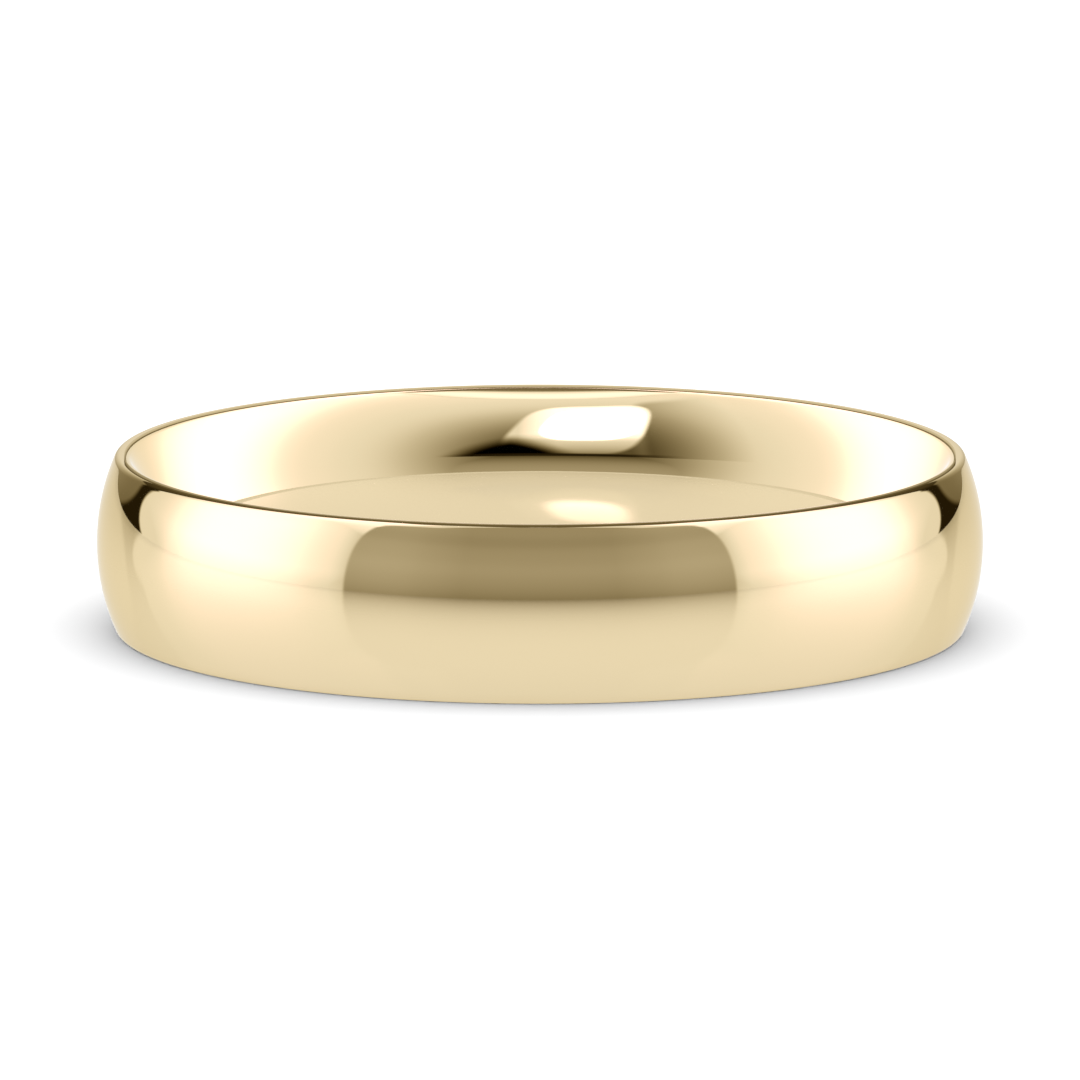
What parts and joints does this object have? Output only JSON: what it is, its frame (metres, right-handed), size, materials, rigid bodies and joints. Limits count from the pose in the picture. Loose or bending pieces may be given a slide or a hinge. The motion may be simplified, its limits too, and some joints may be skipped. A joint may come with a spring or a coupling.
{
  "type": "wedding band",
  "caption": "Plain court wedding band in polished yellow gold, domed outside and inside, with softly rounded edges.",
  "frame": {"origin": "centre of the finger hole at mid width", "axes": "+Z along the finger hole, square to the two sides; the band is round, so X and Y are any pair across it"},
  "size_m": [0.02, 0.02, 0.004],
  "materials": {
    "polished_gold": null
  },
  "bodies": {
    "root": {"band": "polished_gold"}
  },
  "joints": []
}
